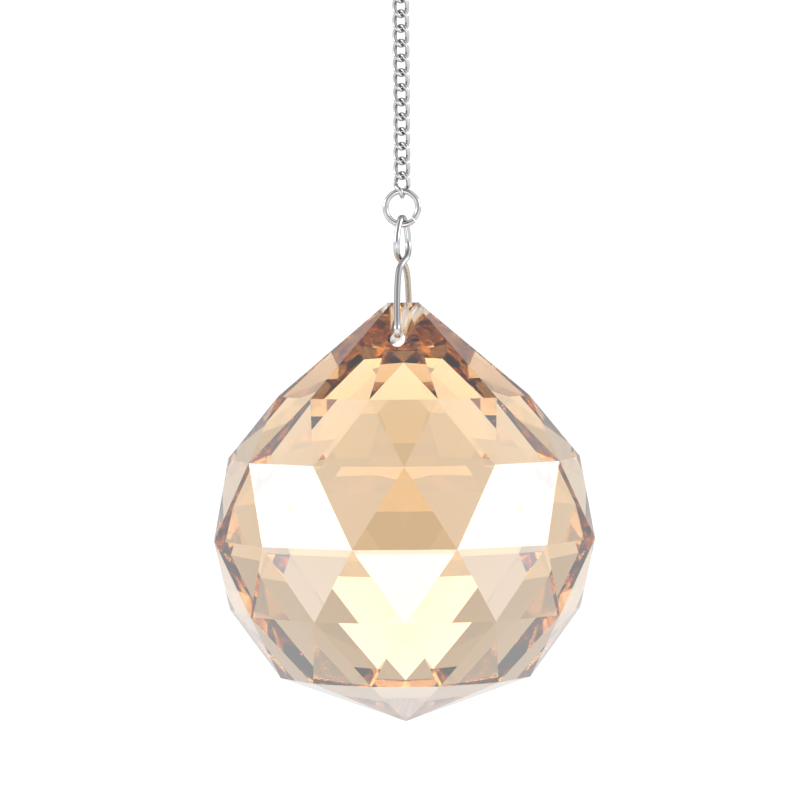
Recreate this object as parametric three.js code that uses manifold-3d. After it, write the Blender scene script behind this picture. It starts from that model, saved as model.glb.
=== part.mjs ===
// Crystal suncatcher: a faceted crystal ball drilled near its top, hung by a bow-tie wire pin, a jump ring
// and a fine curb chain from a plain hanging ring.
// Millimetres, +Z up. The origin is where the hanging ring bears on its hook, with the ball straight below.
// Inside the model, heights are counted from the ball's girdle, and the whole is lowered at the end.
import * as THREE from "three";
import { mergeVertices } from "three/addons/utils/BufferGeometryUtils.js";
import Module from "manifold-3d";

const wasm = await Module();
wasm.setup();

// ---------------------------------------------------------------- driving dimensions
const SLACK = 0.04; // play between pieces that hang in each other
const WIRE_SIDES = 8;

// The ball: rings of facet corners from the flat top down. A ring turned by half a step has its corners
// beside the front facet's middle, and one that isn't has a corner there.
const BALL_SIDES = 12;
const BALL_RINGS = [
  { radius: 1.64, height: 23.95, turn: 0.5 }, // the small flat top
  { radius: 13.24, height: 14.5, turn: 0.5 }, // the foot of the long crown facets
  { radius: 18.02, height: 8.08, turn: 0 },
  { radius: 20.0, height: 0, turn: 0.5 }, // the girdle, 40 mm across its corners
  { radius: 17.98, height: -7.45, turn: 0 },
  { radius: 13.18, height: -14.18, turn: 0.5 },
];
const BALL_POINT = -19.09; // height of the point under the ball
const HOLE_RADIUS = 0.75;
const HOLE_SIDES = 24;
const HOLE_TURN = THREE.MathUtils.degToRad(5.4); // the hole runs front to back, a little askew

// The pin: one strand from the top of its loop to its tip, as x, y and height above the wire in the hole.
// The other strand is the same, turned half round the vertical, so the two pass each other at the waist.
const PIN_WIRE = 0.325; // radius
const PIN_HEIGHT = 20.73; // of the wire where it lies in the hole
const PIN_STRAND = [
  [0, 0, 11.91], // top of the loop
  [0.12, 0.36, 11.83],
  [0.24, 0.64, 11.57],
  [0.35, 0.8, 11.17],
  [0.5, 1.0, 10.37],
  [0.57, 1.12, 9.67],
  [0.6, 1.1, 9.07],
  [0.6, 0.88, 8.57],
  [0.55, 0.5, 8.17],
  [0.42, 0.04, 7.82], // the waist, where the strands wrap
  [0.18, -0.36, 7.52],
  [-0.08, -0.7, 7.22],
  [-0.3, -1.13, 6.77],
  [-0.42, -1.6, 6.27],
  [-0.52, -2.5, 5.27],
  [-0.6, -4.29, 3.27], // the leg, standing off the crown
];
const PIN_BEND = { reach: 5.85, radius: 0.65, from: 43, to: -90, points: 5 }; // the hook at the leg's foot
const PIN_TIP = [4.6, 3.4]; // the straight tip in the hole, as distances from the ball's axis
const PIN_STEPS = 78;

// The rings.
const JUMP = { radius: 1.69, wire: 0.31, gap: 4, open: 0.13, twist: 0.16, gapAt: -46, steps: 40 };
const HANG = { radius: 4.15, wire: 0.35, segments: 44 };

// The curb chain: every link is a long loop whose ends are turned out of its plane, so the chain lies flat.
const LINK_COUNT = 16;
const LINK = { pitch: 1.5, wire: 0.23, width: 1.74, endTurn: 45, turnedBy: 1, segments: 20 };
const END_LINK = { stretch: 0.2, endTurn: 80, turnedBy: 0.5 }; // longer, and turned further and sooner

// ---------------------------------------------------------------- materials
const crystal = new THREE.MeshStandardMaterial({
  color: 0xf1d9b4,
  roughness: 0.02,
  metalness: 0,
  transparent: true,
  opacity: 0.5,
  flatShading: true,
});
const metal = new THREE.MeshStandardMaterial({ color: 0xd6d6d8, roughness: 0.15, metalness: 1 });

// ---------------------------------------------------------------- helpers
function solid(geometry) {
  const bare = new THREE.BufferGeometry();
  bare.setAttribute("position", geometry.getAttribute("position"));
  if (geometry.index) bare.setIndex(geometry.index);
  const merged = mergeVertices(bare, 1e-4);
  return new wasm.Manifold(
    new wasm.Mesh({
      numProp: 3,
      vertProperties: merged.getAttribute("position").array,
      triVerts: new Uint32Array(merged.index.array),
    }),
  );
}

function geometryOf(manifold) {
  const mesh = manifold.getMesh();
  const geometry = new THREE.BufferGeometry();
  geometry.setAttribute("position", new THREE.BufferAttribute(mesh.vertProperties, 3));
  geometry.setIndex(new THREE.BufferAttribute(mesh.triVerts, 1));
  geometry.computeVertexNormals();
  return geometry;
}

function wireSection(radius) {
  const corners = [];
  for (let i = 0; i < WIRE_SIDES; i += 1) {
    const angle = (2 * Math.PI * i) / WIRE_SIDES;
    corners.push(new THREE.Vector2(radius * Math.cos(angle), radius * Math.sin(angle)));
  }
  return new THREE.Shape(corners);
}

function openWire(path, radius, steps) {
  return new THREE.ExtrudeGeometry(wireSection(radius), { steps, extrudePath: path, bevelEnabled: false });
}

function closedWire(path, radius, segments) {
  return new THREE.TubeGeometry(path, segments, radius, WIRE_SIDES, true);
}

function named(name, geometry, material, height = 0) {
  const mesh = new THREE.Mesh(geometry, material);
  mesh.name = name;
  mesh.position.z = height;
  return mesh;
}

// ---------------------------------------------------------------- crystal ball
// Corners are numbered ring by ring, then the point. Two rings with the same turn are joined by
// trapezoids, and two with different turns by a zigzag of triangles.
function ballGeometry() {
  const positions = [];
  const faces = [];
  const corner = (ring, i) => ring * BALL_SIDES + (i % BALL_SIDES);
  for (const { radius, height, turn } of BALL_RINGS) {
    for (let i = 0; i < BALL_SIDES; i += 1) {
      const angle = (2 * Math.PI * (i + turn)) / BALL_SIDES;
      positions.push(radius * Math.sin(angle), -radius * Math.cos(angle), height);
    }
  }
  const point = positions.length / 3;
  positions.push(0, 0, BALL_POINT);

  for (let i = 1; i < BALL_SIDES - 1; i += 1) faces.push(corner(0, 0), corner(0, i), corner(0, i + 1));
  for (let ring = 0; ring < BALL_RINGS.length - 1; ring += 1) {
    const turned = BALL_RINGS[ring].turn - BALL_RINGS[ring + 1].turn;
    for (let i = 0; i < BALL_SIDES; i += 1) {
      const [upper, upperNext] = [corner(ring, i), corner(ring, i + 1)];
      const [lower, lowerNext] = [corner(ring + 1, i), corner(ring + 1, i + 1)];
      if (turned < 0) faces.push(upper, lower, upperNext, upperNext, lower, lowerNext);
      else faces.push(upper, lower, lowerNext, upper, lowerNext, upperNext);
    }
  }
  const last = BALL_RINGS.length - 1;
  for (let i = 0; i < BALL_SIDES; i += 1) faces.push(corner(last, i), point, corner(last, i + 1));

  const geometry = new THREE.BufferGeometry();
  geometry.setAttribute("position", new THREE.Float32BufferAttribute(positions, 3));
  geometry.setIndex(faces);
  return geometry;
}

// The hole passes right through the neck. Its pin hangs in the top of it.
function crystalBall() {
  const flatToAxis = HOLE_RADIUS * Math.cos(Math.PI / HOLE_SIDES);
  const holeHeight = PIN_HEIGHT - (flatToAxis - PIN_WIRE - SLACK);
  const drill = new THREE.CylinderGeometry(HOLE_RADIUS, HOLE_RADIUS, 30, HOLE_SIDES, 1);
  drill.rotateZ(-HOLE_TURN);
  drill.translate(0, 0, holeHeight);
  const drilled = solid(ballGeometry()).subtract(solid(drill));
  return named("crystal_ball", geometryOf(drilled), crystal);
}

// ---------------------------------------------------------------- pin
function pinPath() {
  const strand = PIN_STRAND.map(([x, y, z]) => new THREE.Vector3(x, y, z));
  const along = (reach, z) =>
    new THREE.Vector3(-reach * Math.sin(HOLE_TURN), -reach * Math.cos(HOLE_TURN), z);
  for (let i = 0; i < PIN_BEND.points; i += 1) {
    const share = i / (PIN_BEND.points - 1);
    const angle = THREE.MathUtils.degToRad(THREE.MathUtils.lerp(PIN_BEND.from, PIN_BEND.to, share));
    const reach = PIN_BEND.reach + PIN_BEND.radius * Math.cos(angle);
    strand.push(along(reach, PIN_BEND.radius * (1 + Math.sin(angle))));
  }
  for (const reach of PIN_TIP) strand.push(along(reach, 0));

  const other = strand.slice(1).map((p) => new THREE.Vector3(-p.x, -p.y, p.z));
  return new THREE.CatmullRomCurve3([...other.reverse(), ...strand], false, "centripetal");
}

// ---------------------------------------------------------------- rings
// The jump ring is cut and not quite closed: its ends miss each other a little, outwards and sideways.
class CutRing extends THREE.Curve {
  getPoint(t, target = new THREE.Vector3()) {
    const start = JUMP.gapAt + JUMP.gap / 2;
    const angle = THREE.MathUtils.degToRad(start + t * (360 - JUMP.gap));
    const radius = JUMP.radius + JUMP.open * (t - 0.5);
    return target.set(radius * Math.cos(angle), JUMP.twist * (t - 0.5), radius * Math.sin(angle));
  }
}

function hangingRing() {
  const ring = new THREE.TorusGeometry(HANG.radius, HANG.wire, WIRE_SIDES, HANG.segments);
  ring.rotateX(Math.PI / 2);
  return ring;
}

// ---------------------------------------------------------------- chain
// A link's middle line: a stadium in the XZ plane, turned about the chain's axis by more towards each end.
// top and bottom say by how many degrees, and at what share of the way out the turn is complete.
class LinkCurve extends THREE.Curve {
  constructor(half, top, bottom) {
    super();
    this.half = half;
    this.top = top;
    this.bottom = bottom;
    this.side = LINK.width / 2 - LINK.wire;
  }
  turnAt(up) {
    const end = up > 0 ? this.top : this.bottom;
    return THREE.MathUtils.degToRad(end.endTurn * THREE.MathUtils.clamp(up / (this.half * end.turnedBy), -1, 1));
  }
  getPoint(t, target = new THREE.Vector3()) {
    const straight = this.half - this.side;
    const lap = 4 * straight + 2 * Math.PI * this.side;
    const gone = (((t % 1) + 1) % 1) * lap;
    const along = gone % (lap / 2);
    const sign = gone < lap / 2 ? 1 : -1;
    let across = this.side;
    let up = along - straight;
    if (along > 2 * straight) {
      const angle = (along - 2 * straight) / this.side;
      across = this.side * Math.cos(angle);
      up = straight + this.side * Math.sin(angle);
    }
    across *= sign;
    up *= sign;
    const turn = this.turnAt(up);
    return target.set(across * Math.cos(turn), -across * Math.sin(turn), up);
  }
}

// ---------------------------------------------------------------- assembly, from the ball upwards
const suncatcher = new THREE.Group();
suncatcher.add(crystalBall());

suncatcher.add(named("hanger_pin", openWire(pinPath(), PIN_WIRE, PIN_STEPS), metal, PIN_HEIGHT));

const loopTop = PIN_HEIGHT + PIN_STRAND[0][2];
const jumpHeight = loopTop - (PIN_WIRE + JUMP.wire + SLACK) + JUMP.radius;
suncatcher.add(named("jump_ring", openWire(new CutRing(), JUMP.wire, JUMP.steps), metal, jumpHeight));

const linkTouch = 2 * LINK.wire + SLACK; // between the middle lines of two links that bear on each other
const plainHalf = (LINK.pitch + linkTouch) / 2;
let bearing = jumpHeight + JUMP.radius - (JUMP.wire + LINK.wire + SLACK); // the next link's lowest middle line
for (let i = 1; i <= LINK_COUNT; i += 1) {
  const first = i === 1;
  const last = i === LINK_COUNT;
  const half = plainHalf + (first || last ? END_LINK.stretch : 0);
  const curve = new LinkCurve(half, last ? END_LINK : LINK, first ? END_LINK : LINK);
  const name = `chain_link_${String(i).padStart(2, "0")}`;
  suncatcher.add(named(name, closedWire(curve, LINK.wire, LINK.segments), metal, bearing + half));
  bearing += 2 * half - linkTouch;
}

const linkTop = bearing + linkTouch; // the top of the last link's middle line
const hangHeight = linkTop - (LINK.wire + HANG.wire + SLACK) + HANG.radius;
suncatcher.add(named("hanging_ring", hangingRing(), metal, hangHeight));

suncatcher.position.z = -(hangHeight + HANG.radius - HANG.wire);

export default suncatcher;
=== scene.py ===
import math

import bmesh
import bpy
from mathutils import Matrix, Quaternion, Vector


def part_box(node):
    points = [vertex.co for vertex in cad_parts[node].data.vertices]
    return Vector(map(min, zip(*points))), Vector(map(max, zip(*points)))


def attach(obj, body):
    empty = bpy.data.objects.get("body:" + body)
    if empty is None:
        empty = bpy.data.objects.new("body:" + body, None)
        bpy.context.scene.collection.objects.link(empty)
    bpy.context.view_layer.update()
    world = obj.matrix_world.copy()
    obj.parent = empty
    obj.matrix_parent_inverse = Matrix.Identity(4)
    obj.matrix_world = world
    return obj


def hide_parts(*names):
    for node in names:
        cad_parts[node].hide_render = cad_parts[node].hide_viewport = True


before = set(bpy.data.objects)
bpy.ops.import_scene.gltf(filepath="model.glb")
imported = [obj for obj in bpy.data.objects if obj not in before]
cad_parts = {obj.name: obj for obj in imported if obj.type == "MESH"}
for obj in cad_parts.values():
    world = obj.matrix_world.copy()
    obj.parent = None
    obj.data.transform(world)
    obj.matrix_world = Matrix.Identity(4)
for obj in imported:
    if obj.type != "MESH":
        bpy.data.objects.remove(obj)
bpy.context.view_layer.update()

MM = 0.001

# ---------------------------------------------------------------- sizes, in mm, as in the part's source
POINT_DROP = 19.09  # from the girdle down to the ball's point
HOLE_RADIUS = 0.75
HOLE_SIDES = 24
HOLE_TURN = math.radians(5.4)
SLACK = 0.04

PIN_WIRE = 0.325
PIN_HEIGHT = 20.73
PIN_STRAND = [
    (0, 0, 11.91),
    (0.12, 0.36, 11.83),
    (0.24, 0.64, 11.57),
    (0.35, 0.8, 11.17),
    (0.5, 1.0, 10.37),
    (0.57, 1.12, 9.67),
    (0.6, 1.1, 9.07),
    (0.6, 0.88, 8.57),
    (0.55, 0.5, 8.17),
    (0.42, 0.04, 7.82),
    (0.18, -0.36, 7.52),
    (-0.08, -0.7, 7.22),
    (-0.3, -1.13, 6.77),
    (-0.42, -1.6, 6.27),
    (-0.52, -2.5, 5.27),
    (-0.6, -4.29, 3.27),
]
PIN_BEND = {"reach": 5.85, "radius": 0.65, "from": 43, "to": -90, "points": 5}
PIN_TIP = [4.6, 3.4]

JUMP = {"radius": 1.69, "wire": 0.31, "gap": 4, "open": 0.13, "twist": 0.16, "gap_at": -46}
HANG = {"radius": 4.15, "wire": 0.35}

LINK_COUNT = 16
LINK = {"pitch": 1.5, "wire": 0.23, "width": 1.74, "end_turn": 45, "turned_by": 1}
END_LINK = {"stretch": 0.2, "end_turn": 80, "turned_by": 0.5}

# ---------------------------------------------------------------- how finely things are drawn
WELD = 1e-4  # millimetres between corners that are one
FLAT = math.radians(0.3)  # triangles within this angle of each other are one facet
WALL_SLOPE = 0.1  # a face whose normal leans less than this along the hole is part of its wall
WIRE_ROUNDING = 6
PIN_STEPS = 6  # between two points of the strand
JUMP_POINTS = 96
LINK_POINTS = 64
HANG_POINTS = 128

ball_low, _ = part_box("crystal_ball")
GIRDLE = ball_low.z / MM + POINT_DROP  # the girdle's height in the row frame


# ---------------------------------------------------------------- helpers
def row_point(x, y, height):
    """A point of the source, whose heights are counted from the girdle, in the row frame and in metres."""
    return Vector((x, y, GIRDLE + height)) * MM


def through(points, steps):
    """Points along a centripetal Catmull-Rom curve through the given points, ends included."""
    pts = [Vector(p) for p in points]
    pts = [2 * pts[0] - pts[1], *pts, 2 * pts[-1] - pts[-2]]
    made = []
    for a, b, c, d in zip(pts, pts[1:], pts[2:], pts[3:]):
        t1 = math.sqrt((b - a).length)
        t2 = t1 + math.sqrt((c - b).length)
        t3 = t2 + math.sqrt((d - c).length)
        for i in range(steps):
            t = t1 + (t2 - t1) * i / steps
            ab = a.lerp(b, t / t1)
            bc = b.lerp(c, (t - t1) / (t2 - t1))
            cd = c.lerp(d, (t - t2) / (t3 - t2))
            abc = ab.lerp(bc, t / t2)
            bcd = bc.lerp(cd, (t - t1) / (t3 - t1))
            made.append(abc.lerp(bcd, (t - t1) / (t2 - t1)))
    made.append(pts[-2])
    return made


def wire(name, points, radius, closed, material):
    """A round wire along the points, riding on the root body in place of the CAD node of the same shape."""
    curve = bpy.data.curves.new(name, "CURVE")
    curve.dimensions = "3D"
    curve.bevel_depth = radius * MM
    curve.bevel_resolution = WIRE_ROUNDING
    curve.use_fill_caps = True
    spline = curve.splines.new("POLY")
    spline.points.add(len(points) - 1)
    for made, point in zip(spline.points, points):
        made.co = (*point, 1)
    spline.use_cyclic_u = closed
    spline.use_smooth = True
    curve.materials.append(material)
    piece = bpy.data.objects.new(name, curve)
    bpy.context.scene.collection.objects.link(piece)
    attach(piece, "root")
    return piece


class Nodes:
    """Short ways to add and join shader nodes."""

    def __init__(self, tree):
        self.tree = tree
        tree.nodes.clear()

    def add(self, kind, **values):
        node = self.tree.nodes.new(kind)
        for key, value in values.items():
            setattr(node, key, value)
        return node

    def put(self, socket, value):
        if isinstance(value, bpy.types.NodeSocket):
            self.tree.links.new(value, socket)
        else:
            socket.default_value = value

    def math(self, operation, *inputs):
        node = self.add("ShaderNodeMath", operation=operation)
        for socket, value in zip(node.inputs, inputs):
            self.put(socket, value)
        return node.outputs[0]


# ---------------------------------------------------------------- materials
WHITE = (1, 1, 1, 1)
CRYSTAL_IOR = 1.52
COAT_IOR = 2.0  # a glossy coat, for facets that mirror the lights more strongly than bare crystal does
FROST_ROUGHNESS = 0.35  # of the drilled wall
CHAMPAGNE = (0.8875, 0.6375, 0.225, 1)
CHAMPAGNE_DENSITY = 40  # per metre, times what CHAMPAGNE lacks of each colour

NICKEL = (0.45, 0.45, 0.46, 1)
NICKEL_ROUGHNESS = (0.08, 0.22)  # from the clean to the handled spots
SMUDGE_SCALE = 900  # per metre
SMUDGE_DETAIL = 3

FLOOR_COLOUR = (0.93, 0.93, 0.93, 1)
FLOOR_GLOW = 0.25  # lifts the floor to the white of the backdrop


def crystal_material():
    material = bpy.data.materials.new("champagne_crystal")
    material.use_nodes = True
    nodes = Nodes(material.node_tree)
    shader = nodes.add("ShaderNodeBsdfPrincipled")
    shader.inputs["Base Color"].default_value = WHITE
    shader.inputs["Transmission Weight"].default_value = 1
    shader.inputs["IOR"].default_value = CRYSTAL_IOR
    shader.inputs["Coat Weight"].default_value = 1
    shader.inputs["Coat IOR"].default_value = COAT_IOR
    shader.inputs["Coat Roughness"].default_value = 0
    frost = nodes.add("ShaderNodeAttribute", attribute_name="frost")
    roughness = nodes.math("MULTIPLY", frost.outputs["Fac"], FROST_ROUGHNESS)
    nodes.put(shader.inputs["Roughness"], roughness)
    tint = nodes.add("ShaderNodeVolumeAbsorption")
    tint.inputs["Color"].default_value = CHAMPAGNE
    tint.inputs["Density"].default_value = CHAMPAGNE_DENSITY
    output = nodes.add("ShaderNodeOutputMaterial")
    nodes.put(output.inputs["Surface"], shader.outputs[0])
    nodes.put(output.inputs["Volume"], tint.outputs[0])
    return material


def metal_material():
    material = bpy.data.materials.new("polished_nickel")
    material.use_nodes = True
    nodes = Nodes(material.node_tree)
    shader = nodes.add("ShaderNodeBsdfPrincipled")
    shader.inputs["Base Color"].default_value = NICKEL
    shader.inputs["Metallic"].default_value = 1
    place = nodes.add("ShaderNodeTexCoord")
    smudges = nodes.add("ShaderNodeTexNoise")
    smudges.inputs["Scale"].default_value = SMUDGE_SCALE
    smudges.inputs["Detail"].default_value = SMUDGE_DETAIL
    nodes.put(smudges.inputs["Vector"], place.outputs["Object"])
    rough = nodes.add("ShaderNodeMapRange")
    rough.inputs["To Min"].default_value = NICKEL_ROUGHNESS[0]
    rough.inputs["To Max"].default_value = NICKEL_ROUGHNESS[1]
    nodes.put(rough.inputs["Value"], smudges.outputs["Fac"])
    nodes.put(shader.inputs["Roughness"], rough.outputs[0])
    output = nodes.add("ShaderNodeOutputMaterial")
    nodes.put(output.inputs["Surface"], shader.outputs[0])
    return material


def floor_material():
    material = bpy.data.materials.new("pale_floor")
    material.use_nodes = True
    nodes = Nodes(material.node_tree)
    shader = nodes.add("ShaderNodeBsdfPrincipled")
    shader.inputs["Base Color"].default_value = FLOOR_COLOUR
    shader.inputs["Roughness"].default_value = 0.9
    shader.inputs["Specular IOR Level"].default_value = 0
    shader.inputs["Emission Color"].default_value = WHITE
    shader.inputs["Emission Strength"].default_value = FLOOR_GLOW
    output = nodes.add("ShaderNodeOutputMaterial")
    nodes.put(output.inputs["Surface"], shader.outputs[0])
    return material


crystal = crystal_material()
metal = metal_material()


# ---------------------------------------------------------------- the ball
def crystal_ball():
    """The CAD ball with its triangles joined into flat facets, and the hole's wall marked as frosted."""
    mesh = bmesh.new()
    mesh.from_mesh(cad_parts["crystal_ball"].data)
    bmesh.ops.remove_doubles(mesh, verts=mesh.verts, dist=WELD * MM)
    bmesh.ops.dissolve_limit(mesh, angle_limit=FLAT, verts=mesh.verts, edges=mesh.edges)
    made = bpy.data.meshes.new("faceted_ball")
    mesh.to_mesh(made)
    mesh.free()
    made.materials.append(crystal)

    flat_to_axis = HOLE_RADIUS * math.cos(math.pi / HOLE_SIDES)
    hole_height = PIN_HEIGHT - (flat_to_axis - PIN_WIRE - SLACK)
    centre = row_point(0, 0, hole_height)
    along = Vector((math.sin(HOLE_TURN), math.cos(HOLE_TURN), 0))
    frost = made.attributes.new("frost", "FLOAT", "FACE")
    for face in made.polygons:
        away = face.center - centre
        away -= along * away.dot(along)
        leans = abs(face.normal.dot(along))
        in_wall = away.length < HOLE_RADIUS * MM and leans < WALL_SLOPE
        frost.data[face.index].value = 1.0 if in_wall else 0.0
        face.use_smooth = False

    piece = bpy.data.objects.new("faceted_ball", made)
    bpy.context.scene.collection.objects.link(piece)
    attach(piece, "root")
    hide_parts("crystal_ball")


crystal_ball()


# ---------------------------------------------------------------- the pin
def pin_points():
    """One strand from the loop's top to its tip, and the same turned half round for the other."""
    strand = list(PIN_STRAND)
    bend = PIN_BEND
    for i in range(bend["points"]):
        share = i / (bend["points"] - 1)
        angle = math.radians(bend["from"] + share * (bend["to"] - bend["from"]))
        reach = bend["reach"] + bend["radius"] * math.cos(angle)
        strand.append(
            (
                -reach * math.sin(HOLE_TURN),
                -reach * math.cos(HOLE_TURN),
                bend["radius"] * (1 + math.sin(angle)),
            )
        )
    for reach in PIN_TIP:
        strand.append((-reach * math.sin(HOLE_TURN), -reach * math.cos(HOLE_TURN), 0))
    other = [(-x, -y, z) for x, y, z in strand[1:]]
    line = through([*reversed(other), *strand], PIN_STEPS)
    return [row_point(p.x, p.y, p.z + PIN_HEIGHT) for p in line]


pin = wire("bow_tie_pin", pin_points(), PIN_WIRE, False, metal)
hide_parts("hanger_pin")

# ---------------------------------------------------------------- the rings
loop_top = PIN_HEIGHT + PIN_STRAND[0][2]
jump_height = loop_top - (PIN_WIRE + JUMP["wire"] + SLACK) + JUMP["radius"]


def jump_points():
    """A cut ring: its ends stand a little apart and out of line."""
    points = []
    for i in range(JUMP_POINTS + 1):
        t = i / JUMP_POINTS
        angle = math.radians(JUMP["gap_at"] + JUMP["gap"] / 2 + t * (360 - JUMP["gap"]))
        radius = JUMP["radius"] + JUMP["open"] * (t - 0.5)
        points.append(
            row_point(
                radius * math.cos(angle),
                JUMP["twist"] * (t - 0.5),
                jump_height + radius * math.sin(angle),
            )
        )
    return points


jump = wire("cut_jump_ring", jump_points(), JUMP["wire"], False, metal)
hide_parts("jump_ring")


# ---------------------------------------------------------------- the chain
def link_points(height, half, top, bottom):
    """A long loop whose ends are turned out of its plane."""
    side = LINK["width"] / 2 - LINK["wire"]
    straight = half - side
    lap = 4 * straight + 2 * math.pi * side
    points = []
    for i in range(LINK_POINTS):
        gone = i / LINK_POINTS * lap
        along = gone % (lap / 2)
        sign = 1 if gone < lap / 2 else -1
        across, up = side, along - straight
        if along > 2 * straight:
            angle = (along - 2 * straight) / side
            across = side * math.cos(angle)
            up = straight + side * math.sin(angle)
        across *= sign
        up *= sign
        end = top if up > 0 else bottom
        share = max(-1, min(1, up / (half * end["turned_by"])))
        turn = math.radians(end["end_turn"] * share)
        points.append(row_point(across * math.cos(turn), -across * math.sin(turn), height + up))
    return points


link_touch = 2 * LINK["wire"] + SLACK
plain_half = (LINK["pitch"] + link_touch) / 2
bearing = jump_height + JUMP["radius"] - (JUMP["wire"] + LINK["wire"] + SLACK)
for number in range(1, LINK_COUNT + 1):
    top = END_LINK if number == LINK_COUNT else LINK
    bottom = END_LINK if number == 1 else LINK
    half = plain_half + (END_LINK["stretch"] if END_LINK in (top, bottom) else 0)
    points = link_points(bearing + half, half, top, bottom)
    link = wire(f"curb_link_{number:02d}", points, LINK["wire"], True, metal)
    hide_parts(f"chain_link_{number:02d}")
    bearing += 2 * half - link_touch

hang_height = bearing + link_touch - (LINK["wire"] + HANG["wire"] + SLACK) + HANG["radius"]


def hang_points():
    points = []
    for i in range(HANG_POINTS):
        angle = 2 * math.pi * i / HANG_POINTS
        across = HANG["radius"] * math.cos(angle)
        up = HANG["radius"] * math.sin(angle)
        points.append(row_point(across, 0, hang_height + up))
    return points


ring = wire("round_hanging_ring", hang_points(), HANG["wire"], True, metal)
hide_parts("hanging_ring")


# ---------------------------------------------------------------- studio
FLOOR_DROP = 0.35  # metres from the girdle down to the floor
FLOOR_RADIUS = 3

# The studio is a white tent with soft lights and dark cloths in it, all neutral. Each is given, from the
# ball's middle, by degrees of azimuth (0 straight behind it, 90 to its right, 180 at the camera) and
# elevation, its half width and half height, and how much brighter or darker than the tent it is. Those
# named sideways stand on both sides.
TENT = 1.35
STUDIO = {
    "dark field behind": (0, 35, 60, 30, -0.75),
    "dark field low behind": (0, -15, 60, 20, -0.45),
    "dark cloth overhead": (0, 80, 190, 20, -0.8),
    "lit panel behind": (0, 15, 10, 10, 2),
    "box under the lens": (180, -25, 10, 15, 2),
    "dark cloth over the lens": (180, 30, 30, 30, -0.9),
}
SIDEWAYS = {
    "side boxes": (100, 15, 25, 10, 4),
    "low side boxes": (115, -25, 10, 10, 1.5),
}
EDGE = 8  # degrees over which a light or a cloth fades out
BACKDROP = 1.1  # the plain white that the camera sees behind the part


def make_world():
    """The studio lights and mirrors in the part; the camera itself sees a plain white backdrop."""
    world = bpy.data.worlds.new("studio")
    bpy.context.scene.world = world
    world.use_nodes = True
    nodes = Nodes(world.node_tree)
    direction = nodes.add("ShaderNodeTexCoord").outputs["Generated"]
    parts = nodes.add("ShaderNodeSeparateXYZ")
    nodes.put(parts.inputs[0], direction)
    x, y, z = parts.outputs
    azimuth = nodes.math("DEGREES", nodes.math("ARCTAN2", x, y))
    elevation = nodes.math("DEGREES", nodes.math("ARCSINE", z))

    def within(value, half):
        fade = nodes.add("ShaderNodeMapRange", interpolation_type="SMOOTHSTEP")
        nodes.put(fade.inputs["Value"], value)
        fade.inputs["From Min"].default_value = half + EDGE / 2
        fade.inputs["From Max"].default_value = half - EDGE / 2
        return fade.outputs[0]

    mirrored = [(-turn, *rest) for turn, *rest in SIDEWAYS.values()]
    placed = [*STUDIO.values(), *SIDEWAYS.values(), *mirrored]
    light = TENT
    for turn, height, half_width, half_height, gain in placed:
        sideways = nodes.math("PINGPONG", nodes.math("SUBTRACT", azimuth, turn), 180)
        upwards = nodes.math("ABSOLUTE", nodes.math("SUBTRACT", elevation, height))
        mask = nodes.math("MULTIPLY", within(sideways, half_width), within(upwards, half_height))
        light = nodes.math("MULTIPLY_ADD", mask, gain, light)

    seen = nodes.add("ShaderNodeLightPath").outputs["Is Camera Ray"]
    studio = nodes.add("ShaderNodeBackground")
    nodes.put(studio.inputs["Strength"], light)
    backdrop = nodes.add("ShaderNodeBackground")
    backdrop.inputs["Color"].default_value = WHITE
    backdrop.inputs["Strength"].default_value = BACKDROP
    studio.inputs["Color"].default_value = WHITE
    mix = nodes.add("ShaderNodeMixShader")
    nodes.put(mix.inputs["Fac"], seen)
    nodes.put(mix.inputs[1], studio.outputs[0])
    nodes.put(mix.inputs[2], backdrop.outputs[0])
    output = nodes.add("ShaderNodeOutputWorld")
    nodes.put(output.inputs["Surface"], mix.outputs[0])


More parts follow.
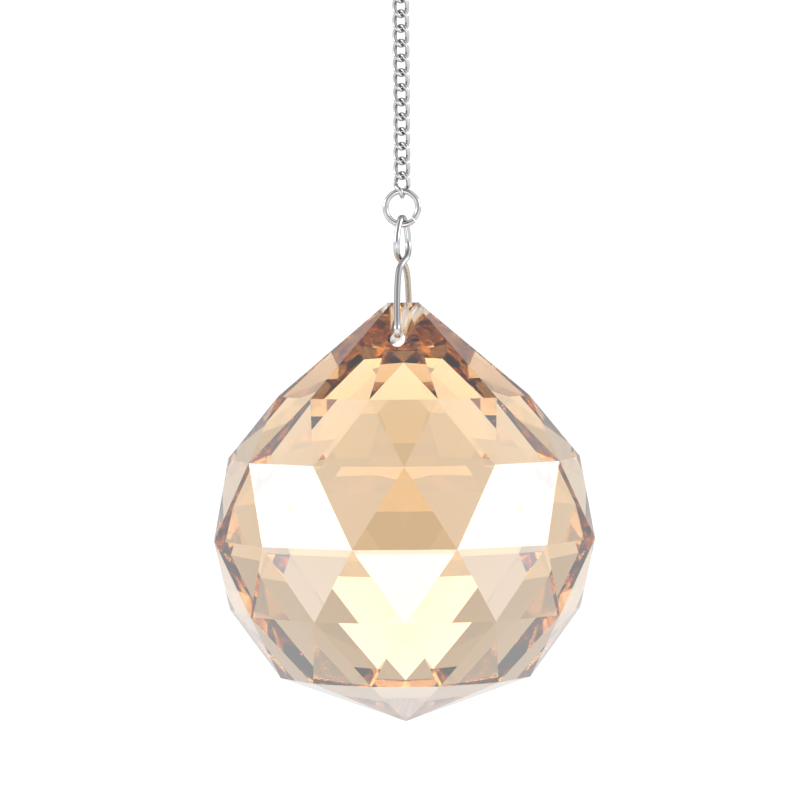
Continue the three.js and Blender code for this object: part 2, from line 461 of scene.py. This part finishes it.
def make_floor():
    """A plain pale floor. The crystal mirrors the studio and not the floor."""
    mesh = bmesh.new()
    bmesh.ops.create_circle(mesh, cap_ends=True, segments=96, radius=FLOOR_RADIUS)
    made = bpy.data.meshes.new("floor")
    mesh.to_mesh(made)
    mesh.free()
    made.materials.append(floor_material())
    floor = bpy.data.objects.new("floor", made)
    floor.location = (0, 0, GIRDLE * MM - FLOOR_DROP)
    floor.visible_glossy = False
    floor.visible_transmission = False
    bpy.context.scene.collection.objects.link(floor)


make_world()
make_floor()

# ---------------------------------------------------------------- camera
CAMERA_DISTANCE = 0.448
CAMERA_ELEVATION = math.radians(4.06)
CAMERA_AIM = (-0.37, 0, 13.96)  # millimetres, the height counted from the girdle
CAMERA_ROLL = math.radians(-0.42)
CAMERA_LENS = 196.5
CAMERA_SENSOR = 36
CAMERA_CLIP = (0.01, 20)  # metres


def make_camera():
    camera = bpy.data.objects.new("camera", bpy.data.cameras.new("camera"))
    bpy.context.scene.collection.objects.link(camera)
    back = Vector((0, -math.cos(CAMERA_ELEVATION), math.sin(CAMERA_ELEVATION)))
    camera.location = row_point(0, 0, 0) + back * CAMERA_DISTANCE
    look = row_point(*CAMERA_AIM) - camera.location
    camera.rotation_mode = "QUATERNION"
    turn = Quaternion((0, 0, 1), CAMERA_ROLL)
    camera.rotation_quaternion = look.to_track_quat("-Z", "Y") @ turn
    camera.data.lens = CAMERA_LENS
    camera.data.sensor_width = CAMERA_SENSOR
    camera.data.clip_start = CAMERA_CLIP[0]
    camera.data.clip_end = CAMERA_CLIP[1]
    bpy.context.scene.camera = camera


make_camera()

CRYSTAL_BOUNCES = 20  # light crosses the ball many times before it leaves
GLOSSY_BOUNCES = 16

scene = bpy.context.scene
scene.view_settings.view_transform = "Standard"
scene.view_settings.look = "None"
scene.cycles.max_bounces = CRYSTAL_BOUNCES
scene.cycles.transmission_bounces = CRYSTAL_BOUNCES
scene.cycles.glossy_bounces = GLOSSY_BOUNCES
scene.cycles.blur_glossy = 0
